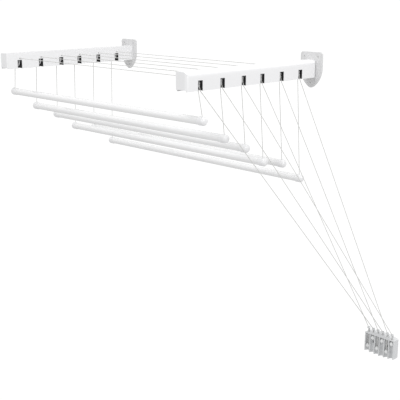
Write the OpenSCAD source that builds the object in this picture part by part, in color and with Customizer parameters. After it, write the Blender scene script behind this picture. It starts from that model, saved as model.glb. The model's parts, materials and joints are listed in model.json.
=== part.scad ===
// Wall-mounted drying rack whose six rods are raised one at a time on cords.
// Millimetres. X runs along the wall to the right, Y into the wall, Z up.
// The origin lies on the wall, midway between the lower screw holes of the two wall plates.
// Everything is shown with each rod at its lowest.

/* [Rods] */
// Length of a rod over its end caps
rod_length = 984; // [800:1:1200]
// Outside diameter of a rod's tube
tube_d = 23; // [19:0.5:25]
// Wall of a rod's tube
tube_wall = 1.2; // [0.8:0.1:2]
// How far a cap stands proud of the tube all round
cap_lip = 1.25; // [1:0.05:2]
// Length of an end cap
cap_length = 25; // [22:1:32]
// Depth of the tube inside its cap
cap_socket = 7; // [4:0.5:7]
// Distance from a cap's tip to its cord hole
cap_hole_inset = 14; // [12:0.5:15]
// How far the rods hang to the right of the rack's middle
rod_shift = 8; // [0:0.5:10]
// How far rod 1, the one furthest from the wall, hangs below the origin
rod_1_drop = 66; // [60:1:320]
// How far rod 2 hangs below the origin
rod_2_drop = 126; // [60:1:320]
// How far rod 3 hangs below the origin
rod_3_drop = 166; // [60:1:320]
// How far rod 4 hangs below the origin
rod_4_drop = 219; // [60:1:320]
// How far rod 5 hangs below the origin
rod_5_drop = 236; // [60:1:320]
// How far rod 6, the one nearest the wall, hangs below the origin
rod_6_drop = 297; // [60:1:320]

/* [Rails] */
// Distance from a rod's tip to the middle of the rail above it
rail_inset = 37; // [34:1:60]
// Width of a rail
rail_width = 43; // [42:1:52]
// Height of a rail
rail_height = 54.5; // [48:0.5:66]
// Wall of a rail
rail_wall = 2.5; // [1.5:0.1:3]
// Height of the rail's lower edge above the origin
rail_base = 17; // [10:1:30]
// Radius along the rail's outer top edge
rail_top_radius = 15; // [8:0.5:16]
// Radius of the rail's upright outer corners
rail_corner_radius = 10; // [6:0.5:12]
// How much shorter the rail's front wall is than its sides
front_relief = 4.5; // [0:0.5:8]
// Distance from the wall to the rod nearest it
rear_reach = 85; // [74:1:105]
// Spacing of the rods within each group of three
rod_pitch = 88; // [72:1:106]
// Spacing of the two groups' facing rods
group_gap = 81; // [68:1:98]
// Distance from the furthest rod to the rail's front
front_reach = 53; // [44:1:70]

/* [Pulleys] */
// Width of a slot in the rail's sides
slot_width = 18; // [18:0.5:22]
// Height of a slot in the rail's sides
slot_height = 29.4; // [27:0.1:32]
// Thickness of a carrier's cheeks
cheek = 1.5; // [1:0.1:1.8]
// Height of the bars that join the cheeks at the rail's sides
carrier_bar = 2.4; // [1.5:0.1:2.8]
// How far a carrier reaches in from each side face before it opens out
carrier_bar_depth = 5; // [3:0.5:6]
// Radius that a cord follows round a wheel
wheel_cord_radius = 13; // [12:0.5:14]
// Height of a wheel's rims above that radius
wheel_rim = 2; // [1.5:0.1:2.5]
// Width of a wheel over its rims
wheel_width = 5; // [4:0.5:5.5]
// Distance of a wheel's middle from the middle of its slot
wheel_shift = 2; // [1.5:0.1:2.2]
// Height of a wheel's axle above the rail's lower edge
axle_rise = 22; // [20:0.5:25]
// Diameter of an axle
axle_d = 4; // [3:0.5:5]
// Radial clearance of a wheel on its axle
axle_play = 0.08; // [0.04:0.01:0.1]
// Diameter of a wheel's hub
hub_d = 9; // [8:0.5:11]
// Diameter of a guide pin
pin_d = 4; // [3:0.5:4.5]
// Height of a guide pin above the rail's lower edge
pin_rise = 14; // [12:0.5:15]
// Distance of a guide pin from the middle of its slot
pin_shift = 3; // [2.5:0.1:3.2]

/* [Cords] */
// Diameter of every cord
cord_d = 2; // [1.5:0.1:2]
// Clearance between a cord and what it runs on
cord_play = 0.15; // [0.05:0.05:0.3]
// Diameter of the holes that a cord passes through
cord_hole_d = 5; // [4:0.5:6]
// Diameter of the knot inside a rod's cap
knot_d = 5; // [4:0.5:5.5]
// Depth of the knot's pocket below the rod's middle
knot_roof = 3; // [1:0.5:4]

/* [Wall plates] */
// Width of a wall plate
plate_width = 86; // [80:1:104]
// Thickness of a wall plate
plate_thickness = 6; // [4:0.5:8]
// Height of a wall plate's top edge above the origin
plate_top = 96; // [92:1:112]
// Depth of a wall plate's lower tip below the origin
plate_tip = 17; // [14:1:20]
// Height above the origin at which a wall plate starts to narrow
plate_taper_start = 47; // [42:1:56]
// Radius of a wall plate's top corners
plate_corner_radius = 9; // [4:0.5:12]
// Radius of a wall plate's lower tip
plate_tip_radius = 14; // [10:0.5:16]
// Diameter of a wall plate's screw holes
screw_hole_d = 5.5; // [4.5:0.5:6.5]
// Spacing of a wall plate's two upper screw holes
upper_screw_spacing = 54; // [50:1:64]
// Height of the upper screw holes above the lower one
upper_screw_rise = 82; // [78:1:90]
// Length of the tongue that carries a rail
tongue_length = 34; // [28:1:44]
// Width of that tongue
tongue_width = 26.5; // [22:0.5:26.5]
// Clearance of the tongue inside the rail
tongue_play = 0.3; // [0.2:0.1:0.6]
// Diameter of the screw that locks a rail on its tongue
lock_screw_d = 5; // [4:0.5:6]

/* [Cleat] */
// Distance of the cleat's middle from the rack's middle
cleat_x = 777; // [650:1:900]
// Width of the cleat
cleat_width = 108; // [106:0.2:130]
// Height of the cleat at its ends
cleat_height = 62; // [58:1:74]
// Height of the cleat's upper corners below the origin
cleat_drop = 770; // [600:1:950]
// How far the cleat's top edge arches up in the middle
cleat_top_bow = 8; // [4:0.5:12]
// How far the cleat's lower edge bows down in the middle
cleat_base_bow = 4; // [2:0.5:8]
// Thickness of the cleat's back plate
cleat_back = 4; // [3:0.5:6]
// Depth of the cleat over its cover
cleat_depth = 25; // [20:1:32]
// Thickness of the cover above the knobs' channels
cover_top = 2.4; // [1.5:0.1:3]
// Spacing across the cleat of neighbouring cords
cord_pitch = 17.4; // [15.5:0.1:17.6]
// Height of the upper row of knobs above the cleat's lower corners
upper_knob_rise = 48; // [44:1:56]
// Height of the lower row of knobs above the cleat's lower corners
lower_knob_rise = 17; // [8:1:20]
// Diameter of a knob
knob_d = 13; // [10:0.5:13.5]
// Gap all round between a knob and its channel in the cleat's cover
knob_gap = 0.6; // [0.3:0.1:0.9]
// How far a knob stands out of its channel
knob_proud = 3; // [1:0.5:4]
// Height of the cord eyes above the cleat's upper corners
eye_rise = 17; // [15:1:22]
// Outside diameter of a cord eye
eye_d = 9; // [8:0.5:11]
// Height of a cord eye
eye_height = 4; // [3:0.5:6]
// Diameter of the cleat's screw holes
cleat_screw_d = 4.5; // [3.5:0.5:5.5]

/* [Hidden] */
$fn = 48;
SIDES = 8;          // sides of a swept cord
ARC_STEPS = 3;      // straight steps of a swept cord round a guide pin
E = 1;              // how far a cut runs past the face that it opens

rods = [1, 2, 3, 4, 5, 6];
left_wheels = [for (i = rods) str("left_wheel_", i)];
right_wheels = [for (i = rods) str("right_wheel_", i)];
tubes = [for (i = rods) str("rod_", i)];
caps = [for (i = rods) str("rod_", i, "_caps")];
drops = [for (i = rods) str("drop_cords_", i)];
tails = [for (i = rods) str("pull_tail_", i)];
knobs = [for (i = rods) str("pull_knob_", i)];

rail_x = rod_length / 2 - rail_inset;
cord_r = cord_d / 2;
// Distance from a guide pin's axis to the cord that runs over it.
pin_run = pin_d / 2 + cord_r + 0.05;

// Rods 1 to 6 run from the front to the wall, in two groups of three.
rod_y = [for (i = rods) -rear_reach - (6 - i) * rod_pitch + (i < 4 ? rod_pitch - group_gap : 0)];
rod_z = [-rod_1_drop, -rod_2_drop, -rod_3_drop, -rod_4_drop, -rod_5_drop, -rod_6_drop];
rail_front = rod_y[0] - front_reach;
rail_rear = -plate_thickness;
rail_length = rail_rear - rail_front;

// A rod hangs between its two cords' lines: the wheel's on the left, the guide pin's on the right.
cap_d = tube_d + 2 * cap_lip;
cap_hole_x = rod_length / 2 - cap_hole_inset;
cap_shift = (wheel_shift - pin_shift - pin_run) / 2;
// A hanging cord's slanting end stops this far above the cord in the cap.
cord_foot_gap = 0.3;

axle_z = rail_base + axle_rise;
pin_z = rail_base + pin_rise;
cross_z = axle_z + wheel_cord_radius;
wheel_side_x = rail_x + wheel_cord_radius;
wheel_radius = wheel_cord_radius + wheel_rim;
cheek_inner = slot_width / 2 - cheek;
hub_length = 2 * (cheek_inner - 0.2);
slot_top = rail_base + slot_height;

// The pin's boss stands beside the wheel, and the cord runs over the pin past the wheel's rim.
pin_cord_x = rail_x + wheel_radius + cord_r + 0.2;
pin_end_x = pin_cord_x + cord_r + 0.4;
pin_head = 1.4;
pin_head_d = pin_d + 2.8;
boss_start = rail_x + 8;
boss_end = pin_cord_x - cord_r - 1;
boss_face = wheel_shift - wheel_width / 2 - 0.7;
boss_half = 5;

// Both cords of a rod leave the right rail side by side, just under its lower edge.
exit_z = rail_base - 1.5;
exit_x = pin_cord_x - 0.2;
exit_y = cheek_inner - cord_r - 1;
pair_step = 0.8 * cord_d / 2;

// Neighbouring cords end at knobs in a lower and an upper row by turns: rods 4, 1, 5, 2, 6, 3.
cleat_place = [1, 3, 5, 0, 2, 4];
knob_x = [for (p = cleat_place) cleat_x + (p - 2.5) * cord_pitch];
cleat_low = -cleat_drop - cleat_height;
knob_z = [for (p = cleat_place) cleat_low + (p % 2 == 1 ? upper_knob_rise : lower_knob_rise)];
knob_y = knob_d / 2 - knob_proud - cleat_depth;
knob_neck_top = knob_d / 2 + 1.5;
eye_z = -cleat_drop + eye_rise;
tail_gap = 0.3;
cleat_screw_z = cleat_low + (upper_knob_rise + lower_knob_rise) / 2;
cleat_screw_spacing = 3 * cord_pitch;

// ---- shapes and sweeps ----

function unit(v) = v / norm(v);
function tangent(p, k) = unit(unit(p[min(k + 1, len(p) - 1)] - p[max(k - 1, 0)]));
function across(t) = unit(cross(t, abs(t.x) < 0.9 ? [1, 0, 0] : [0, 1, 0]));

// A tube of diameter d along the points p, capped at both ends.
module swept_cord(p, d = cord_d) {
    rings = [for (k = [0:len(p) - 1])
        let (t = tangent(p, k), u = across(t), v = cross(t, u))
        for (s = [0:SIDES - 1]) p[k] + d / 2 * (cos(360 * s / SIDES) * u + sin(360 * s / SIDES) * v)];
    last = (len(p) - 1) * SIDES;
    walls = [for (k = [0:len(p) - 2]) for (s = [0:SIDES - 1])
        let (a = k * SIDES + s, b = k * SIDES + (s + 1) % SIDES)
        for (f = [[a, a + SIDES, b], [b, a + SIDES, b + SIDES]]) f];
    near_end = [for (s = [0:SIDES - 1]) s];
    far_end = [for (s = [SIDES - 1:-1:0]) last + s];
    polyhedron(points = rings, faces = concat([near_end, far_end], walls));
}

// A straight cord from a to b.
module straight_cord(a, b, d = cord_d) {
    run = b - a;
    translate(a) rotate([0, acos(run.z / norm(run)), atan2(run.y, run.x)]) cylinder(d = d, h = norm(run));
}

// A w by h rectangle with its far upper corner rounded.
module one_corner_rounded(w, h, r) {
    square([w - r, h]);
    square([w, h - r]);
    translate([w - r, h - r]) circle(r);
}

// A w by h rectangle with both corners of its far side rounded.
module two_corners_rounded(w, h, r) {
    square([w - r, h]);
    translate([0, r]) square([w, h - 2 * r]);
    for (y = [r, h - r]) translate([w - r, y]) circle(r);
}

module on_side(side) {
    mirror([side == "left" ? 1 : 0, 0, 0]) children();
}

// ---- rails ----

// The rail's outer form, moved in by inset on every side but its open base.
module rail_form(inset) {
    w = rail_width - 2 * inset;
    l = rail_length - 2 * inset;
    h = rail_height - inset;
    translate([rail_x - w / 2, rail_front + inset, rail_base - (inset > 0 ? E : 0)])
        intersection() {
            translate([0, l, 0]) rotate([90, 0, 0])
                linear_extrude(l) one_corner_rounded(w, h + (inset > 0 ? E : 0), rail_top_radius - inset);
            linear_extrude(h + E) two_corners_rounded(w, l, rail_corner_radius - inset);
        }
}

module rail(side) {
    color("white") on_side(side) difference() {
        rail_form(0);
        rail_form(rail_wall);
        for (y = rod_y) {
            translate([rail_x - rail_width / 2 - E, y - slot_width / 2, rail_base - E])
                cube([rail_width + 2 * E, slot_width, slot_height + E]);
            translate([rail_x - rail_width / 2 - E, y + wheel_shift, cross_z])
                rotate([0, 90, 0]) cylinder(d = cord_hole_d, h = rail_wall + 2 * E);
        }
        translate([rail_x - rail_width / 2 - E, rail_front - E, rail_base - E])
            cube([rail_width + 2 * E, rail_wall + 2 * E, front_relief + E]);
        translate([tongue_start - tongue_play, rail_rear - rail_wall - E, rail_base - E])
            cube([tongue_width + 2 * tongue_play, rail_wall + 2 * E, tongue_top - rail_base + tongue_play + E]);
    }
}

// ---- wall plates ----

tongue_start = rail_x - rail_width / 2 + rail_wall + tongue_play;
tongue_top = rail_base + rail_height - rail_wall - tongue_play;
tongue_base = rail_base + 4;
lock_x = tongue_start + tongue_width / 2;
lock_y = rail_rear - 0.7 * tongue_length;
core_depth = 0.5 * tongue_length;
core_wall = 3;

// The sides below the taper are arcs that run smoothly into the rounded tip.
taper_fall = plate_taper_start + plate_tip - plate_tip_radius;
taper_radius = ((plate_width / 2) ^ 2 + taper_fall ^ 2 - plate_tip_radius ^ 2)
    / (plate_width - 2 * plate_tip_radius);
taper_offset = taper_radius - plate_width / 2;
tip_centre = plate_tip_radius - plate_tip;
tip_share = taper_radius / (taper_radius - plate_tip_radius);
tip_cut = plate_taper_start - tip_share * taper_fall;

module plate_outline() {
    half = plate_width / 2;
    r = plate_corner_radius;
    straight = plate_top - plate_taper_start;
    translate([-half, plate_taper_start]) square([plate_width, straight - r]);
    translate([r - half, plate_taper_start]) square([plate_width - 2 * r, straight]);
    for (x = [r - half, half - r]) translate([x, plate_top - r]) circle(r);
    intersection() {
        translate([-taper_offset, plate_taper_start]) circle(taper_radius);
        translate([taper_offset, plate_taper_start]) circle(taper_radius);
        translate([-half, tip_cut]) square([plate_width, plate_taper_start - tip_cut]);
    }
    translate([0, tip_centre]) circle(plate_tip_radius);
}

module wall_plate(side) {
    color("white") on_side(side) difference() {
        union() {
            translate([rail_x, 0, 0]) rotate([90, 0, 0])
                linear_extrude(plate_thickness) plate_outline();
            translate([tongue_start, rail_rear - tongue_length, tongue_base])
                cube([tongue_width, tongue_length + E, tongue_top - tongue_base]);
        }
        for (at = [[-upper_screw_spacing / 2, upper_screw_rise], [upper_screw_spacing / 2, upper_screw_rise], [0, 0]])
            translate([rail_x + at.x, E, at.y])
                rotate([90, 0, 0]) cylinder(d = screw_hole_d, h = plate_thickness + 2 * E);
        translate([tongue_start + core_wall, rail_rear - core_depth, tongue_base + core_wall])
            cube([tongue_width - 2 * core_wall, core_depth + plate_thickness + E,
                  tongue_top - tongue_base - 2 * core_wall]);
        translate([lock_x, lock_y, tongue_base - E])
            cylinder(d = lock_screw_d, h = tongue_top - tongue_base + 2 * E);
    }
}

module lock_screws() {
    head = 2.8;
    color("silver") for (side = ["left", "right"]) on_side(side)
        translate([lock_x, lock_y, tongue_base - head]) difference() {
            union() {
                cylinder(d = 1.8 * lock_screw_d, h = head);
                cylinder(d = lock_screw_d, h = tongue_top + tongue_play - tongue_base + head);
            }
            translate([-3, -0.5, -E]) cube([6, 1, E + 1]);
            translate([-0.5, -3, -E]) cube([1, 6, E + 1]);
        }
}

// ---- pulleys ----

module carriers(side) {
    half = slot_width / 2;
    face = rail_width / 2 - 0.3;
    color("#26282a") on_side(side) for (y = rod_y) translate([rail_x, y, 0]) difference() {
        union() {
            for (v = [-half, half - cheek])
                translate([-face, v, rail_base + 0.6]) cube([2 * face, cheek, slot_height - 0.6]);
            for (x = [-face, face - carrier_bar_depth])
                translate([x, -half, slot_top - carrier_bar]) cube([carrier_bar_depth, slot_width, carrier_bar]);
            translate([boss_start - rail_x, -half + cheek / 2, pin_z - boss_half])
                cube([boss_end - boss_start, boss_face + half - cheek / 2, 2 * boss_half]);
        }
        translate([0, -half - E, axle_z]) rotate([-90, 0, 0]) cylinder(d = axle_d, h = slot_width + 2 * E);
        translate([boss_start - rail_x - E, -pin_shift, pin_z]) rotate([0, 90, 0]) cylinder(d = pin_d, h = 30);
    }
}

module axles(side) {
    color("silver") on_side(side) for (y = rod_y)
        translate([rail_x, y - slot_width / 2, axle_z]) rotate([-90, 0, 0]) cylinder(d = axle_d, h = slot_width);
}

module guide_pins() {
    color("silver") for (y = rod_y)
        translate([boss_start, y - pin_shift, pin_z]) rotate([0, 90, 0]) {
            cylinder(d = pin_d, h = pin_end_x - boss_start);
            translate([0, 0, pin_end_x - boss_start]) cylinder(d = pin_head_d, h = pin_head);
        }
}

// A grooved wheel on a long hub; the groove clears the cord by cord_play.
module wheel(side, i) {
    bore = axle_d / 2 + axle_play;
    floor_r = wheel_cord_radius - cord_r - cord_play;
    mid = wheel_shift;
    color("#f4f4f0") on_side(side) translate([rail_x, rod_y[i - 1], axle_z]) rotate([-90, 0, 0])
        rotate_extrude() polygon([
            [bore, -hub_length / 2], [hub_d / 2, -hub_length / 2],
            [hub_d / 2, mid - wheel_width / 2], [wheel_radius, mid - wheel_width / 2],
            [wheel_radius, mid - wheel_width / 2 + 0.6], [floor_r, mid - cord_r + 0.1],
            [floor_r, mid + cord_r - 0.1], [wheel_radius, mid + wheel_width / 2 - 0.6],
            [wheel_radius, mid + wheel_width / 2], [hub_d / 2, mid + wheel_width / 2],
            [hub_d / 2, hub_length / 2], [bore, hub_length / 2],
        ]);
}

// ---- rods ----

tube_half = rod_length / 2 - cap_length + cap_socket;

module rod(i) {
    color("white") translate([rod_shift - tube_half, rod_y[i - 1] + cap_shift, rod_z[i - 1]]) rotate([0, 90, 0])
        difference() {
            cylinder(d = tube_d, h = 2 * tube_half);
            translate([0, 0, -E]) cylinder(d = tube_d - 2 * tube_wall, h = 2 * tube_half + 2 * E);
        }
}

// A cap is a socket with a domed end; the cord goes down through it to a knot in a pocket underneath.
module rod_caps(i) {
    dome = 0.36 * cap_d;
    knot_z = -knot_roof - knot_d / 2;
    color("#f2f2f0") translate([rod_shift, rod_y[i - 1] + cap_shift, rod_z[i - 1]])
        for (side = ["left", "right"]) on_side(side) {
            difference() {
                translate([rod_length / 2 - cap_length, 0, 0]) rotate([0, 90, 0]) rotate_extrude() union() {
                    square([cap_d / 2, cap_length - dome]);
                    intersection() {
                        translate([cap_d / 2 - dome, cap_length - dome]) circle(dome);
                        square([cap_d / 2, cap_length]);
                    }
                    square([cap_d / 2 - dome, cap_length]);
                }
                translate([rod_length / 2 - cap_length - E, 0, 0])
                    rotate([0, 90, 0]) cylinder(d = tube_d, h = cap_socket + E);
                translate([cap_hole_x, 0, -knot_roof - E]) cylinder(d = cord_d + 0.8, h = cap_d);
                translate([cap_hole_x, 0, -cap_d]) cylinder(d = knot_d + 0.6, h = cap_d - knot_roof);
            }
            translate([cap_hole_x, 0, knot_z]) sphere(d = knot_d);
            translate([cap_hole_x, 0, knot_z]) cylinder(d = cord_d, h = cap_d / 2 - knot_z);
        }
}

// ---- cords ----

// Each rod has two hanging lengths, from the wheel on the left and the guide pin on the right.
module drop_cords(i) {
    y = rod_y[i - 1];
    foot = rod_z[i - 1] + cap_d / 2 + cord_foot_gap;
    color("#e6e6e2") {
        straight_cord([rod_shift - cap_hole_x, y + cap_shift, foot], [-wheel_side_x, y + wheel_shift, pin_z]);
        straight_cord([rod_shift + cap_hole_x, y + cap_shift, foot], [pin_cord_x, y - pin_shift - pin_run, pin_z]);
    }
}

// The left cords run over both wheels, and down each wheel's outer side to the pin's height.
module cross_cords() {
    color("#e6e6e2") for (y = rod_y) translate([0, y + wheel_shift, 0]) {
        translate([-rail_x, 0, cross_z]) rotate([0, 90, 0]) cylinder(d = cord_d, h = 2 * rail_x);
        for (side = ["left", "right"]) on_side(side) {
            translate([rail_x, 0, axle_z]) rotate([90, 0, 0])
                rotate_extrude(angle = 90) translate([wheel_cord_radius, 0]) circle(d = cord_d);
            translate([wheel_side_x, 0, pin_z]) cylinder(d = cord_d, h = axle_z - pin_z);
        }
    }
}

// The route of rod i's near cord over its guide pin, and on to the cleat.
function near_route(i) = let (
    y = rod_y[i - 1],
    leave = [exit_x + pair_step, y + exit_y - pair_step, exit_z],
    eye = [knob_x[i - 1] + pair_step, knob_y - pair_step, eye_z],
    turn = 140)
    concat(
        [for (k = [0:ARC_STEPS]) let (a = 180 - turn * k / ARC_STEPS)
            [pin_cord_x, y - pin_shift + pin_run * cos(a), pin_z + pin_run * sin(a)]],
        [leave, eye, eye - [0, 0, eye_height / 2]]);

// The route of rod i's cross cord from its right wheel to the cleat.
function far_route(i) = let (
    y = rod_y[i - 1],
    leave = [exit_x - pair_step, y + exit_y + pair_step, exit_z],
    eye = [knob_x[i - 1] - pair_step, knob_y + pair_step, eye_z])
    [[wheel_side_x, y + wheel_shift, pin_z], leave, eye, eye - [0, 0, eye_height / 2]];

module pull_cords() {
    color("#e6e6e2") for (i = rods) {
        swept_cord(near_route(i));
        swept_cord(far_route(i));
    }
}

// The two cords below the eye, which lengthen as the knob is pulled down.
module pull_tail(i) {
    foot = knob_z[i - 1] + knob_neck_top + tail_gap;
    color("#e6e6e2") for (s = [-pair_step, pair_step])
        translate([knob_x[i - 1] + s, knob_y - s, foot])
            cylinder(d = cord_d, h = eye_z - eye_height / 2 - foot);
}

module pull_knob(i) {
    color("#dcdcd8") translate([knob_x[i - 1], knob_y, knob_z[i - 1]]) difference() {
        union() {
            sphere(d = knob_d);
            cylinder(d = 0.58 * knob_d, h = knob_neck_top);
        }
        translate([0, 0, -knob_d]) cylinder(d = 0.38 * knob_d, h = 2 * knob_d);
        translate([0, 0, -knob_d]) cylinder(d = 0.6 * knob_d, h = 0.72 * knob_d);
    }
}

// ---- cleat ----

// The cleat's outline: straight sides between two shallow arcs.
module cleat_outline() {
    half = cleat_width / 2;
    top_r = (half ^ 2 + cleat_top_bow ^ 2) / (2 * cleat_top_bow);
    base_r = (half ^ 2 + cleat_base_bow ^ 2) / (2 * cleat_base_bow);
    intersection() {
        translate([-half, cleat_low - cleat_base_bow])
            square([cleat_width, cleat_height + cleat_top_bow + cleat_base_bow]);
        translate([0, cleat_top_bow - cleat_drop - top_r]) circle(top_r, $fn = 180);
        translate([0, cleat_low - cleat_base_bow + base_r]) circle(base_r, $fn = 180);
    }
}

module cleat_slab(front, back) {
    translate([cleat_x, back, 0]) rotate([90, 0, 0]) linear_extrude(back - front) cleat_outline();
}

// The two screws lie behind the second channel from each end, between the rows of knobs.
module cleat_screw_holes(d) {
    for (s = [-0.5, 0.5])
        translate([cleat_x + s * cleat_screw_spacing, E, cleat_screw_z])
            rotate([90, 0, 0]) cylinder(d = d, h = cleat_depth + 2 * E);
}

module cleat_back_plate() {
    color("#e8e8e6") difference() {
        cleat_slab(-cleat_back, 0);
        cleat_screw_holes(cleat_screw_d);
    }
}

// The cover has a channel for each knob, open in front and below, and an eye above each channel.
module cleat_cover() {
    arm = 3;
    channel_d = knob_d + 2 * knob_gap;
    channel_top = -cleat_drop - cover_top;
    channel_height = cleat_height + cleat_base_bow + E;
    color("#c9cccd") difference() {
        union() {
            cleat_slab(-cleat_depth, -cleat_back);
            for (x = knob_x) {
                translate([x, knob_y, eye_z - eye_height / 2]) cylinder(d = eye_d, h = eye_height);
                translate([x - arm / 2, knob_y + eye_d / 2 - 1, -cleat_drop - 1])
                    cube([arm, arm, eye_rise + 1 + eye_height / 2]);
            }
        }
        cleat_screw_holes(2 * cleat_screw_d);
        for (x = knob_x) {
            translate([x, knob_y, channel_top - channel_height]) cylinder(d = channel_d, h = channel_height);
            translate([x - channel_d / 2, -cleat_depth - E, channel_top - channel_height])
                cube([channel_d, knob_y + cleat_depth + E, channel_height]);
            translate([x, knob_y, channel_top - E]) cylinder(d = cord_hole_d, h = cleat_top_bow + 2 * eye_rise);
        }
    }
}

rail("left");  // left_rail
rail("right");  // right_rail
wall_plate("left");  // left_wall_plate
wall_plate("right");  // right_wall_plate
lock_screws();
carriers("left");  // left_carriers
carriers("right");  // right_carriers
axles("left");  // left_axles
axles("right");  // right_axles
guide_pins();
for (i = rods) wheel("left", i);
for (i = rods) wheel("right", i);
for (i = rods) rod(i);
for (i = rods) rod_caps(i);
for (i = rods) drop_cords(i);
cross_cords();
pull_cords();
for (i = rods) pull_tail(i);
for (i = rods) pull_knob(i);
cleat_back_plate();
cleat_cover();
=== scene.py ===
"""Looks of a wall-mounted pulley drying rack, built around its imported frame. All lengths are in metres."""

import json
import math

import bmesh
import bpy
from bpy.props import FloatProperty, FloatVectorProperty, IntProperty, PointerProperty
from mathutils import Matrix, Vector


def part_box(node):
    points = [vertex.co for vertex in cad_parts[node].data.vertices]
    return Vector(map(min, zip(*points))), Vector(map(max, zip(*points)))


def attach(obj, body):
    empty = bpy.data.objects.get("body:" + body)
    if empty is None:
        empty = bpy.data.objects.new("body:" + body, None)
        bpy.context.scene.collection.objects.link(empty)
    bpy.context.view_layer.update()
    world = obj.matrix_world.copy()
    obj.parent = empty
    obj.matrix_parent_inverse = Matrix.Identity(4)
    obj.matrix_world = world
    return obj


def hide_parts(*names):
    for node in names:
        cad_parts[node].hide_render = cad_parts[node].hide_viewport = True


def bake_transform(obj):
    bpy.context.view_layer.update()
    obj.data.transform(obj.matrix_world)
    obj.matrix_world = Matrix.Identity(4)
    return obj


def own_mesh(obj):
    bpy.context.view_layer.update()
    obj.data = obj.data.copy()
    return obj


bl_info = {
    "name": "Pulley drying rack",
    "version": (1, 0, 0),
    "blender": (4, 5, 0),
    "location": "3D View > Sidebar > Rack",
    "description": "Builds the finished pieces and finishes of a wall-mounted pulley drying rack",
    "category": "Object",
}

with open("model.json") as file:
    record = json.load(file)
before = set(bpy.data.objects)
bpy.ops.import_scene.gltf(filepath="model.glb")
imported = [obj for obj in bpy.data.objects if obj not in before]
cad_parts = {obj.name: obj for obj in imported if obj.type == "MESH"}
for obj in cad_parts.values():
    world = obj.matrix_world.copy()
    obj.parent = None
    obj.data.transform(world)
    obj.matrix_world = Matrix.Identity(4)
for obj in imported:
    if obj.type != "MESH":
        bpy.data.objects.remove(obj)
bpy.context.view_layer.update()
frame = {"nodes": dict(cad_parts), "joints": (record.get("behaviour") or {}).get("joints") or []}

RODS = range(1, 7)
SIDES = ("left", "right")
JOINTS = {joint["name"]: joint for joint in frame["joints"]}

# The cords' route, as the frame's design has it.
CORD_D = 0.002
PAIR_STEP = 0.0008
PIN_RUN = 0.00305
PIN_Z = 0.031
PIN_SHIFT = 0.003
PIN_CORD_X = 0.4712
WHEEL_SHIFT = 0.002
WHEEL_CORD_RADIUS = 0.013
EXIT_X = 0.471
EXIT_SHIFT = 0.0055
EXIT_Z = 0.0155
EYE_Z = -0.753
EYE_HALF_HEIGHT = 0.002
CAP_HOLE_INSET = 0.014
KNOB_BITE = 0.002

# The rods' wall, and the rounding of the tubes' ends.
TUBE_WALL = 0.0012
TUBE_END_EDGE = 0.0003

# Points closer than this are one, faces flatter than this are one, and edges sharper than this are rounded.
MERGE_DISTANCE = 1e-6
FLAT_ANGLE = math.radians(0.5)
SHARP_ANGLE = math.radians(35)

# The camera: its lens in millimetres, its place, and how far it is turned and tilted down.
CAMERA_LENS = 76.06
CAMERA_SENSOR = 36
CAMERA_PLACE = (2.1563, -2.1503, 0.3017)
CAMERA_TURN = math.radians(45.851)
CAMERA_FALL = math.radians(14.279)

# The studio: its brightness to the lens, and as light from below and from above, with a fade between them.
WHITE = (1, 1, 1, 1)
LENS_STRENGTH = 1.05
SKY_BELOW = 0.62
SKY_ABOVE = 0.84
SKY_BAND = 0.3


# ---------------------------------------------------------------- sizes and colours


class RackFinish(bpy.types.PropertyGroup):
    """Colours and gloss of the rack's materials."""

    moulding: FloatVectorProperty(
        name="Mouldings", description="Colour of the rails, caps and wheels",
        subtype="COLOR", size=3, min=0, max=1, default=(0.90, 0.90, 0.91))
    # Darker than the mouldings' white as painted shade; the cleat's back plate takes it too.
    plate: FloatVectorProperty(
        name="Wall plates", description="Colour of the wall plates and the cleat's back plate",
        subtype="COLOR", size=3, min=0, max=1, default=(0.74, 0.74, 0.745))
    moulding_roughness: FloatProperty(
        name="Moulding roughness", description="Roughness of the rails and wall plates",
        subtype="FACTOR", min=0, max=1, default=0.36)
    enamel: FloatVectorProperty(
        name="Rods", description="Colour of the rods' enamel",
        subtype="COLOR", size=3, min=0, max=1, default=(0.93, 0.93, 0.935))
    enamel_roughness: FloatProperty(
        name="Rod roughness", description="Roughness of the rods' enamel",
        subtype="FACTOR", min=0, max=1, default=0.16)
    carrier: FloatVectorProperty(
        name="Carriers", description="Colour of the wheel carriers",
        subtype="COLOR", size=3, min=0, max=1, default=(0.012, 0.012, 0.013))
    cord: FloatVectorProperty(
        name="Cords", description="Colour of the cords",
        subtype="COLOR", size=3, min=0, max=1, default=(0.70, 0.70, 0.685))
    clear: FloatVectorProperty(
        name="Cleat cover", description="Colour of the cleat's translucent cover",
        subtype="COLOR", size=3, min=0, max=1, default=(0.83, 0.84, 0.85))
    knob: FloatVectorProperty(
        name="Knobs", description="Colour of the pull knobs",
        subtype="COLOR", size=3, min=0, max=1, default=(0.78, 0.79, 0.79))
    steel: FloatVectorProperty(
        name="Pins", description="Colour of the zinc-plated pins and screws",
        subtype="COLOR", size=3, min=0, max=1, default=(0.70, 0.71, 0.71))


class RackSizes(bpy.types.PropertyGroup):
    """Edge and surface sizes that the frame leaves to the finished pieces."""

    rail_edge: FloatProperty(
        name="Rail edge", description="Rounding of the rails' moulded edges",
        subtype="DISTANCE", min=0.0001, max=0.002, default=0.0007)
    plate_edge: FloatProperty(
        name="Plate edge", description="Rounding of the wall plates' edges",
        subtype="DISTANCE", min=0.0001, max=0.002, default=0.0012)
    small_edge: FloatProperty(
        name="Small edge", description="Rounding of the small pieces' edges",
        subtype="DISTANCE", min=0.00005, max=0.001, default=0.00025)
    cord_step: FloatProperty(
        name="Cord step", description="Spacing of the rings along a cord",
        subtype="DISTANCE", min=0.001, max=0.02, default=0.005)
    cord_sides: IntProperty(
        name="Cord sides", description="Faces around a cord, an even number",
        min=4, max=24, default=12)
    rod_steps: IntProperty(
        name="Rod steps", description="Faces around a rod",
        min=24, max=256, default=96)


# ---------------------------------------------------------------- materials


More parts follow.
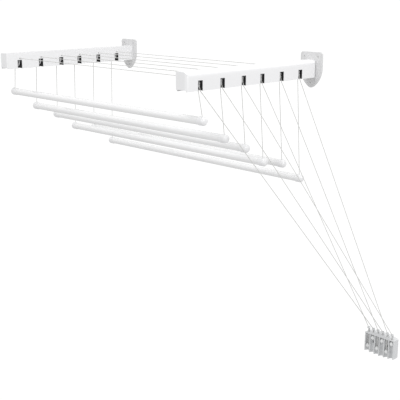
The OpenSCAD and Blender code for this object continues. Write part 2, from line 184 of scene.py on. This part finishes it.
class Value:
    """A shader socket that Python's operators combine through Math nodes."""

    def __init__(self, paint, socket):
        self.paint = paint
        self.socket = socket

    def math(self, operation, first, second=None):
        inputs = {0: first} if second is None else {0: first, 1: second}
        return self.paint.node("Math", {"operation": operation}, inputs)

    def __add__(self, other):
        return self.math("ADD", self, other)

    def __sub__(self, other):
        return self.math("SUBTRACT", self, other)

    def __rsub__(self, other):
        return self.math("SUBTRACT", other, self)

    def __mul__(self, other):
        return self.math("MULTIPLY", self, other)

    def __pow__(self, other):
        return self.math("POWER", self, other)

    def sine(self):
        return self.math("SINE", self)

    def absolute(self):
        return self.math("ABSOLUTE", self)

    __radd__ = __add__
    __rmul__ = __mul__


class Nodes:
    """An emptied node tree, to which each call adds one node."""

    def __init__(self, tree):
        self.tree = tree
        self.tree.nodes.clear()

    def node(self, kind, settings, inputs, output=0):
        made = self.tree.nodes.new("ShaderNode" + kind)
        for key, setting in settings.items():
            setattr(made, key, setting)
        for key, given in inputs.items():
            if isinstance(given, Value):
                self.tree.links.new(given.socket, made.inputs[key])
            else:
                made.inputs[key].default_value = given
        return Value(self, made.outputs[output]) if made.outputs else None


class Paint(Nodes):
    """One material, made of nodes."""

    def __init__(self, name):
        self.material = bpy.data.materials.new(name)
        self.material.use_nodes = True
        super().__init__(self.material.node_tree)

    def place(self):
        return self.node("TexCoord", {}, {}, "Object")

    def stretched(self, scale):
        return self.node("Mapping", {}, {"Vector": self.place(), "Scale": scale})

    def along_and_around(self):
        """A cord's own UV map: metres along the cord, and turns around it."""
        split = {"Vector": self.node("UVMap", {"uv_map": "UVMap"}, {})}
        return [self.node("SeparateXYZ", {}, split, axis) for axis in "XY"]

    def noise(self, scale, detail=2.0, vector=None):
        return self.node("TexNoise", {}, {"Vector": vector or self.place(), "Scale": scale, "Detail": detail})

    def mix(self, share, first, second):
        """A colour between first and second; both are triples or values."""
        ready = [given if isinstance(given, Value) else (*given, 1) for given in (first, second)]
        settings = {"data_type": "RGBA", "clamp_factor": True}
        return self.node("Mix", settings, {0: share, 6: ready[0], 7: ready[1]}, 2)

    def bump(self, height, strength, distance):
        return self.node("Bump", {}, {"Height": height, "Strength": strength, "Distance": distance})

    def surface(self, **sockets):
        names = {key: key.replace("_", " ") for key in sockets}
        shader = self.node("BsdfPrincipled", {}, {names[key]: given for key, given in sockets.items()})
        self.node("OutputMaterial", {}, {"Surface": shader})
        return self.material


def shade(colour, factor):
    return tuple(part * factor for part in colour)


def satin(name, tone, base_roughness):
    """Satin moulded plastic with a fine spark-eroded grain and a faint unevenness of tone."""
    paint = Paint(name)
    grain = paint.noise(1400, 3)
    drift = paint.noise(9, 2)
    colour = paint.mix(drift, shade(tone, 0.985), tone)
    roughness = drift * 0.06 + (base_roughness - 0.03)
    return paint.surface(Base_Color=colour, Roughness=roughness, Normal=paint.bump(grain, 0.12, 0.00008))


def moulded_white(finish):
    return satin("moulded_white", finish.moulding, finish.moulding_roughness)


def plate_white_painted_shade(finish):
    """The plates' plastic: a shade greyer than the rails', which is painted shade from the rails and the
    wall.
    """
    return satin("plate_white_painted_shade", finish.plate, finish.moulding_roughness + 0.08)


def gloss_enamel(finish):
    """Gloss enamel on a drawn tube, with a faint orange peel and long draw lines."""
    paint = Paint("gloss_enamel")
    peel = paint.noise(260, 2)
    lines = paint.noise(60, 2, paint.stretched((0.02, 6, 6)))
    drift = paint.noise(5, 2)
    colour = paint.mix(drift, shade(finish.enamel, 0.985), finish.enamel)
    roughness = lines * 0.05 + (finish.enamel_roughness - 0.025)
    height = peel * 0.6 + lines * 0.4
    return paint.surface(
        Base_Color=colour, Roughness=roughness, IOR=1.7, Coat_Weight=0.8, Coat_IOR=1.8, Coat_Roughness=0.09,
        Normal=paint.bump(height, 0.04, 0.0001))


def cap_white(finish):
    """Glossier moulded plastic of the rods' caps."""
    paint = Paint("cap_white")
    grain = paint.noise(900, 2)
    drift = paint.noise(40, 2)
    colour = paint.mix(drift, shade(finish.moulding, 0.97), finish.moulding)
    return paint.surface(
        Base_Color=colour, Roughness=drift * 0.06 + 0.22, Normal=paint.bump(grain, 0.06, 0.00005))


def carrier_black(finish):
    """Matt black moulded plastic with scuffs where the cords run."""
    paint = Paint("carrier_black")
    grain = paint.noise(1800, 3)
    scuff = paint.noise(180, 4)
    colour = paint.mix(scuff, finish.carrier, shade(finish.carrier, 2.2))
    return paint.surface(
        Base_Color=colour, Roughness=scuff * 0.2 + 0.4, Normal=paint.bump(grain, 0.2, 0.00008))


def wheel_nylon(finish):
    """Turned white nylon, with fine rings from the mould."""
    paint = Paint("wheel_nylon")
    rings = paint.noise(300, 2, paint.stretched((1, 8, 1)))
    drift = paint.noise(90, 2)
    colour = paint.mix(drift, shade(finish.moulding, 0.9), shade(finish.moulding, 0.97))
    return paint.surface(
        Base_Color=colour, Roughness=drift * 0.1 + 0.34, Normal=paint.bump(rings, 0.1, 0.00006))


def zinc_steel(finish):
    """Zinc-plated steel of the pins and screws."""
    paint = Paint("zinc_steel")
    scratches = paint.noise(500, 3, paint.stretched((1, 1, 6)))
    bloom = paint.noise(120, 2)
    colour = paint.mix(bloom, shade(finish.steel, 0.79), finish.steel)
    return paint.surface(
        Base_Color=colour, Metallic=1.0, Roughness=scratches * 0.2 + 0.2,
        Normal=paint.bump(scratches, 0.08, 0.00004))


def braided_cord(finish):
    """Braided synthetic cord: crossing strands wind both ways round it."""
    paint = Paint("braided_cord")
    along, around = paint.along_and_around()
    radians_per_metre, radians_per_turn = 2400.0, 4.0 * math.pi
    right = (along * radians_per_metre + around * radians_per_turn).sine()
    left = (along * radians_per_metre - around * radians_per_turn).sine()
    plait = (right.absolute() * 0.5 + left.absolute() * 0.5) ** 0.7
    fibre = paint.noise(2500, 2)
    # Darker in the grooves between the strands as painted shade; the fibre noise is the cord's own uneven
    # tone.
    colour = paint.mix(plait * 0.8 + fibre * 0.2, shade(finish.cord, 0.72), finish.cord)
    return paint.surface(
        Base_Color=colour, Roughness=0.8, Sheen_Weight=0.15, Normal=paint.bump(plait, 0.5, 0.0002))


def knotted_cord(finish):
    """Cord pulled into a knot, where the braid shows only as lumps."""
    paint = Paint("knotted_cord")
    lumps = paint.noise(900, 3)
    colour = paint.mix(lumps, shade(finish.cord, 0.7), finish.cord)
    return paint.surface(Base_Color=colour, Roughness=0.8, Normal=paint.bump(lumps, 0.4, 0.0003))


def knob_gloss(finish):
    """Gloss moulded plastic of the pull knobs."""
    paint = Paint("knob_gloss")
    drift = paint.noise(60, 2)
    grain = paint.noise(900, 2)
    colour = paint.mix(drift, shade(finish.knob, 0.9), finish.knob)
    return paint.surface(
        Base_Color=colour, Roughness=drift * 0.06 + 0.2, Normal=paint.bump(grain, 0.05, 0.00005))


def cleat_clear(finish):
    """Translucent moulded plastic of the cleat's cover, slightly cloudy."""
    paint = Paint("cleat_clear")
    cloud = paint.noise(35, 3)
    grain = paint.noise(1000, 2)
    colour = paint.mix(cloud, shade(finish.clear, 0.94), finish.clear)
    return paint.surface(
        Base_Color=colour, Roughness=cloud * 0.1 + 0.2, Transmission_Weight=0.12, IOR=1.45,
        Normal=paint.bump(grain, 0.08, 0.00006))


MAKERS = {maker.__name__: maker for maker in (
    moulded_white, plate_white_painted_shade, gloss_enamel, cap_white, carrier_black, wheel_nylon, zinc_steel, braided_cord,
    knotted_cord, knob_gloss, cleat_clear)}


def material(name):
    """The named finish, made once."""
    return bpy.data.materials.get(name) or MAKERS[name](bpy.context.scene.rack_finish)


# ---------------------------------------------------------------- building blocks


def sizes():
    return bpy.context.scene.rack_sizes


def show(mesh, name, finish):
    """A piece of its own from a finished mesh."""
    mesh.materials.clear()
    mesh.materials.append(material(finish))
    piece = bpy.data.objects.new(name, mesh)
    bpy.context.scene.collection.objects.link(piece)
    return piece


def settle(piece, body, node):
    """Puts a piece on its body, in place of its CAD node, whose part is hidden."""
    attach(piece, body)
    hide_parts(node)


def smooth_shaded(mesh):
    for polygon in mesh.polygons:
        polygon.use_smooth = True


def finished_copy(node, name, finish, edge, body="root", keep=None):
    """A merged copy of a CAD node with its sharp edges rounded, which stands for the node."""
    source = frame["nodes"][node]
    work = bmesh.new()
    work.from_mesh(source.data)
    bmesh.ops.remove_doubles(work, verts=work.verts, dist=MERGE_DISTANCE)
    bmesh.ops.dissolve_limit(
        work, angle_limit=FLAT_ANGLE, verts=work.verts, edges=work.edges, delimit={"NORMAL"})
    if keep:
        drop_islands(work, keep)
    mesh = bpy.data.meshes.new(name)
    work.to_mesh(mesh)
    work.free()
    smooth_shaded(mesh)
    mesh.set_sharp_from_angle(angle=SHARP_ANGLE)
    piece = show(mesh, name, finish)
    bevel = piece.modifiers.new("edge", "BEVEL")
    bevel.limit_method = "ANGLE"
    bevel.angle_limit = SHARP_ANGLE
    bevel.width = edge
    bevel.segments = 2
    bevel.use_clamp_overlap = True
    bevel.harden_normals = True
    settle(piece, body, node)


def spread(places):
    """The width along X of a set of places."""
    across = [place.x for place in places]
    return max(across) - min(across)


def drop_islands(work, keep):
    """Deletes each separate solid whose vertices keep() doesn't want."""
    left = set(work.verts)
    while left:
        island, ahead = set(), [left.pop()]
        while ahead:
            vertex = ahead.pop()
            island.add(vertex)
            for edge in vertex.link_edges:
                other = edge.other_vert(vertex)
                if other in left:
                    left.discard(other)
                    ahead.append(other)
        if not keep([vertex.co for vertex in island]):
            bmesh.ops.delete(work, geom=list(island), context="VERTS")


def spun(name, profile, finish, centre, axis, steps):
    """A closed ring-shaped solid: the profile's (radius, height) points turn about axis through centre."""
    work = bmesh.new()
    side = Vector((1, 0, 0))
    points = [work.verts.new(side * radius + Vector((0, 0, height))) for radius, height in profile]
    edges = [work.edges.new((points[k], points[(k + 1) % len(points)])) for k in range(len(points))]
    bmesh.ops.spin(
        work, geom=points + edges, cent=(0, 0, 0), axis=(0, 0, 1), angle=2 * math.pi, steps=steps,
        use_merge=True)
    bmesh.ops.remove_doubles(work, verts=work.verts, dist=MERGE_DISTANCE)
    bmesh.ops.recalc_face_normals(work, faces=work.faces)
    turn = Vector((0, 0, 1)).rotation_difference(Vector(axis)).to_matrix().to_4x4()
    bmesh.ops.transform(work, matrix=Matrix.Translation(Vector(centre)) @ turn, verts=work.verts)
    mesh = bpy.data.meshes.new(name)
    work.to_mesh(mesh)
    work.free()
    smooth_shaded(mesh)
    mesh.set_sharp_from_angle(angle=SHARP_ANGLE)
    return show(mesh, name, finish)


def spaced(points, step):
    """The same route with a point every step at most, the corners kept."""
    route = [Vector(points[0])]
    for start, end in zip(points, points[1:]):
        start, end = Vector(start), Vector(end)
        parts = max(1, math.ceil((end - start).length / step))
        route += [start.lerp(end, part / parts) for part in range(1, parts + 1)]
    return route


def cord_tube(name, points):
    """A cord's mesh tube, with its UV map in metres along the cord and in turns around it."""
    route = spaced(points, sizes().cord_step)
    curve = bpy.data.curves.new(name, "CURVE")
    curve.dimensions = "3D"
    curve.bevel_depth = CORD_D / 2
    curve.bevel_resolution = (sizes().cord_sides - 4) // 2
    curve.use_fill_caps = True
    spline = curve.splines.new("POLY")
    spline.points.add(len(route) - 1)
    for point, place in zip(spline.points, route):
        point.co = (*place, 1)
    drawn = bpy.data.objects.new(name + "_line", curve)
    bpy.context.scene.collection.objects.link(drawn)
    bpy.context.view_layer.update()
    mesh = bpy.data.meshes.new_from_object(drawn)
    bpy.data.objects.remove(drawn)
    bpy.data.curves.remove(curve)
    mesh.name = name
    smooth_shaded(mesh)
    length = route_length(route)
    for corner in mesh.uv_layers["UVMap"].uv:
        corner.vector.x *= length
    return show(mesh, name, "braided_cord")


def route_length(route):
    return sum((end - start).length for start, end in zip(route, route[1:]))


def say_cord(points):
    """Spaces the cord's points and measures its route; nothing is kept."""
    route = spaced(points, sizes().cord_step)
    route_length(route)


def arc(centre, radius, start, end, steps, plane):
    """Points of an arc in the plane of two axes, from start to end in degrees."""
    first, second = Vector(plane[0]), Vector(plane[1])
    angles = [math.radians(start + (end - start) * step / steps) for step in range(steps + 1)]
    return [Vector(centre) + radius * (math.cos(a) * first + math.sin(a) * second) for a in angles]


def middle(node):
    low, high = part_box(node)
    return (low + high) / 2


def wheel_centre(side, number):
    return Vector(JOINTS[f"{side}_wheel_{number}_turn"]["pos_m"])


def knob_place(number):
    return middle(f"pull_knob_{number}")


# ---------------------------------------------------------------- stage


def area_light(name, place, target, size, power):
    lamp = bpy.data.lights.new(name, "AREA")
    lamp.shape = "DISK"
    lamp.size = size
    lamp.energy = power
    holder = bpy.data.objects.new(name, lamp)
    holder.location = place
    holder.rotation_euler = (Vector(target) - Vector(place)).to_track_quat("-Z", "Y").to_euler()
    bpy.context.scene.collection.objects.link(holder)


def studio_world():
    """White to the lens in every direction; for the light itself a sky that is brighter above than below."""
    world = bpy.data.worlds.new("studio")
    world.use_nodes = True
    nodes = Nodes(world.node_tree)
    direction = nodes.node("TexCoord", {}, {}, "Generated")
    height = nodes.node("SeparateXYZ", {}, {"Vector": direction}, "Z")
    fade = {"From Min": -SKY_BAND, "From Max": SKY_BAND, "To Min": SKY_BELOW, "To Max": SKY_ABOVE}
    strength = nodes.node("MapRange", {}, {"Value": height, **fade})
    sky = nodes.node("Background", {}, {"Color": WHITE, "Strength": strength})
    seen = nodes.node("Background", {}, {"Color": WHITE, "Strength": LENS_STRENGTH})
    to_lens = nodes.node("LightPath", {}, {}, "Is Camera Ray")
    nodes.node("OutputWorld", {}, {"Surface": nodes.node("MixShader", {}, {0: to_lens, 1: sky, 2: seen})})
    return world


class RACK_OT_stage(bpy.types.Operator):
    """Set up the camera and the soft studio light"""

    bl_idname = "rack.stage"
    bl_label = "Stage"

    def execute(self, context):
        scene = context.scene
        camera = bpy.data.objects.new("camera", bpy.data.cameras.new("camera"))
        scene.collection.objects.link(camera)
        camera.data.lens = CAMERA_LENS
        camera.data.sensor_width = CAMERA_SENSOR
        camera.data.clip_end = 200
        level, down = math.cos(CAMERA_FALL), math.sin(CAMERA_FALL)
        look = Vector((-math.sin(CAMERA_TURN) * level, math.cos(CAMERA_TURN) * level, -down))
        camera.location = CAMERA_PLACE
        camera.rotation_euler = look.to_track_quat("-Z", "Y").to_euler()
        scene.camera = camera
        scene.view_settings.view_transform = "Standard"
        scene.world = studio_world()
        area_light("overhead", (0.4, -0.6, 2.2), target=(0, -0.3, 0), size=1.6, power=18)
        area_light("right_side", (2.6, -0.2, 0.6), target=(0.4, -0.3, -0.1), size=1.4, power=12)
        area_light("front", (0.2, -3.0, 0.1), target=(0, -0.3, -0.1), size=1.8, power=7)
        return {"FINISHED"}


# ---------------------------------------------------------------- pieces


class RACK_OT_rails(bpy.types.Operator):
    """Build the two moulded rails"""

    bl_idname = "rack.rails"
    bl_label = "Rails"

    def execute(self, context):
        for side in SIDES:
            finished_copy(
                f"{side}_rail", f"{side}_rail_moulding", "moulded_white", sizes().rail_edge)
        return {"FINISHED"}


class RACK_OT_plates(bpy.types.Operator):
    """Build the wall plates and the screws that lock the rails on them"""

    bl_idname = "rack.plates"
    bl_label = "Wall plates"

    def execute(self, context):
        for side in SIDES:
            finished_copy(
                f"{side}_wall_plate", f"{side}_plate_moulding", "plate_white_painted_shade",
                sizes().plate_edge)
        finished_copy("lock_screws", "rail_lock_screws", "zinc_steel", sizes().small_edge)
        return {"FINISHED"}


class RACK_OT_carriers(bpy.types.Operator):
    """Build the black wheel carriers, their axles and the guide pins"""

    bl_idname = "rack.carriers"
    bl_label = "Carriers"

    def execute(self, context):
        pieces = [(f"{side}_carriers", "carrier_black", "black_plastic") for side in SIDES]
        pieces += [(f"{side}_axles", "zinc_steel", "steel") for side in SIDES]
        pieces += [("guide_pins", "zinc_steel", "steel")]
        for node, finish, slot in pieces:
            finished_copy(node, f"{node}_finished", finish, sizes().small_edge)
        return {"FINISHED"}


class RACK_OT_wheels(bpy.types.Operator):
    """Build the twelve grooved wheels"""

    bl_idname = "rack.wheels"
    bl_label = "Wheels"

    def execute(self, context):
        for side in SIDES:
            for number in RODS:
                node = f"{side}_wheel_{number}"
                finished_copy(
                    node, f"{node}_nylon", "wheel_nylon", sizes().small_edge, body=node)
        return {"FINISHED"}


class RACK_OT_rods(bpy.types.Operator):
    """Build the six enamelled tubes with their caps and the cords' knots in them"""

    bl_idname = "rack.rods"
    bl_label = "Rods"

    def execute(self, context):
        for number in RODS:
            self.tube(number)
            self.ends(number)
        return {"FINISHED"}

    def tube(self, number):
        node = f"rod_{number}"
        low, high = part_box(node)
        outer, half = (high.z - low.z) / 2, (high.x - low.x) / 2
        inner, eased = outer - TUBE_WALL, outer - TUBE_END_EDGE
        shoulder = half - TUBE_END_EDGE
        profile = [
            (inner, -half), (eased, -half), (outer, -shoulder),
            (outer, shoulder), (eased, half), (inner, half)]
        tube = spun(f"{node}_tube", profile, "gloss_enamel", middle(node), (1, 0, 0), sizes().rod_steps)
        settle(tube, node, node)

    def ends(self, number):
        """Caps and knots share a node: a cap is longer than the tube's radius, and a knot is shorter."""
        node, body = f"rod_{number}_caps", f"rod_{number}"
        low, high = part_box(body)
        radius = (high.z - low.z) / 2
        finished_copy(
            node, f"{body}_end_caps", "cap_white", sizes().small_edge, body,
            keep=lambda places: spread(places) > radius)
        finished_copy(
            node, f"{body}_knots", "knotted_cord", sizes().small_edge, body,
            keep=lambda places: spread(places) < radius)


class RACK_OT_cords(bpy.types.Operator):
    """String the rack: cross cords, hanging cords, pull cords and the tails under the eyes"""

    bl_idname = "rack.cords"
    bl_label = "Cords"

    def execute(self, context):
        for number in RODS:
            self.cross(number)
            self.hanging(number)
            self.pulled(number)
            self.tail(number)
        return {"FINISHED"}

    def cross(self, number):
        """Over both wheels, and down each wheel's outer side to the guide pin's height."""
        left, right = (wheel_centre(side, number) + Vector((0, WHEEL_SHIFT, 0)) for side in SIDES)
        plane = ((1, 0, 0), (0, 0, 1))
        points = [Vector((left.x - WHEEL_CORD_RADIUS, left.y, PIN_Z))]
        points += arc(left, WHEEL_CORD_RADIUS, 180, 90, 10, plane)
        points += arc(right, WHEEL_CORD_RADIUS, 90, 0, 10, plane)
        points.append(Vector((right.x + WHEEL_CORD_RADIUS, right.y, PIN_Z)))
        settle(cord_tube(f"cross_cord_{number}", points), "root", "cross_cords")

    def hanging(self, number):
        """The two lengths from the rail down to the rod's caps, made at the rod's rest height; on the rack
        they shorten as the rod is raised.
        """
        low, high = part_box(f"rod_{number}_caps")
        rod = middle(f"rod_{number}")
        foot = rod.z + (high.y - low.y) / 2
        left, right = (wheel_centre(side, number) for side in SIDES)
        left_top = Vector((left.x - WHEEL_CORD_RADIUS, left.y + WHEEL_SHIFT, PIN_Z))
        right_top = Vector((PIN_CORD_X, right.y - PIN_SHIFT - PIN_RUN, PIN_Z))
        ends = (("left", left_top, low.x + CAP_HOLE_INSET), ("right", right_top, high.x - CAP_HOLE_INSET))
        for side, top, x in ends:
            cord = cord_tube(f"{side}_hanging_cord_{number}", [top, Vector((x, rod.y, foot))])
            settle(cord, "root", f"drop_cords_{number}")
            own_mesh(cord)

    def pulled(self, number):
        """The pair from the right rail to the eye in the cleat."""
        wheel, knob = wheel_centre("right", number), knob_place(number)
        low = EYE_Z - EYE_HALF_HEIGHT
        for name, step in (("near", PAIR_STEP), ("far", -PAIR_STEP)):
            leave = Vector((EXIT_X + step, wheel.y + EXIT_SHIFT - step, EXIT_Z))
            eye = Vector((knob.x + step, knob.y - step, EYE_Z))
            if name == "near":
                pin = (PIN_CORD_X, wheel.y - PIN_SHIFT, PIN_Z)
                start = arc(pin, PIN_RUN, 180, 40, 8, ((0, 1, 0), (0, 0, 1)))
            else:
                start = [Vector((wheel.x + WHEEL_CORD_RADIUS, wheel.y + WHEEL_SHIFT, PIN_Z))]
            points = start + [leave, eye, Vector((eye.x, eye.y, low))]
            cord = cord_tube(f"{name}_pull_cord_{number}", points)
            settle(cord, "root", "pull_cords")
            say_cord(points)

    def tail(self, number):
        """The pair under the eye, made at the knob's rest height; on the rack it lengthens as the knob is
        pulled down.
        """
        low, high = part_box(f"pull_knob_{number}")
        knob = knob_place(number)
        top = EYE_Z - EYE_HALF_HEIGHT
        for name, step in (("near", PAIR_STEP), ("far", -PAIR_STEP)):
            x, y = knob.x + step, knob.y - step
            cord = cord_tube(f"{name}_tail_{number}", [(x, y, top), (x, y, high.z - KNOB_BITE)])
            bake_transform(cord)
            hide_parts(f"pull_tail_{number}")


class RACK_OT_knobs(bpy.types.Operator):
    """Build the six pull knobs"""

    bl_idname = "rack.knobs"
    bl_label = "Knobs"

    def execute(self, context):
        for number in RODS:
            node = f"pull_knob_{number}"
            finished_copy(
                node, f"{node}_bead", "knob_gloss", sizes().small_edge, body=f"pull_{number}")
        return {"FINISHED"}


class RACK_OT_cleat(bpy.types.Operator):
    """Build the cleat's back plate and translucent cover"""

    bl_idname = "rack.cleat"
    bl_label = "Cleat"

    def execute(self, context):
        # The back plate takes the plates' darker white, which is painted shade.
        finished_copy("cleat_back_plate", "cleat_base", "plate_white_painted_shade", sizes().small_edge)
        finished_copy("cleat_cover", "cleat_front", "cleat_clear", sizes().rail_edge)
        return {"FINISHED"}


# ---------------------------------------------------------------- panel and registration


STEPS = ("stage", "cords", "rails", "plates", "carriers", "wheels", "rods", "knobs", "cleat")


class RACK_PT_panel(bpy.types.Panel):
    """Lists the rack's operators and its settings"""

    bl_idname = "RACK_PT_panel"
    bl_label = "Pulley drying rack"
    bl_space_type = "VIEW_3D"
    bl_region_type = "UI"
    bl_category = "Rack"

    def draw(self, context):
        column = self.layout.column()
        for step in STEPS:
            column.operator("rack." + step)
        for group in (context.scene.rack_sizes, context.scene.rack_finish):
            for name in group.__annotations__:
                column.prop(group, name)


CLASSES = (
    RackFinish, RackSizes, RACK_OT_stage, RACK_OT_rails, RACK_OT_plates, RACK_OT_carriers, RACK_OT_wheels,
    RACK_OT_rods, RACK_OT_cords, RACK_OT_knobs, RACK_OT_cleat, RACK_PT_panel)


def register():
    for cls in CLASSES:
        bpy.utils.register_class(cls)
    bpy.types.Scene.rack_finish = PointerProperty(type=RackFinish)
    bpy.types.Scene.rack_sizes = PointerProperty(type=RackSizes)


def unregister():
    del bpy.types.Scene.rack_sizes
    del bpy.types.Scene.rack_finish
    for cls in reversed(CLASSES):
        bpy.utils.unregister_class(cls)


def main():
    register()
    for step in STEPS:
        getattr(bpy.ops.rack, step)()


if __name__ == "__main__":
    main()
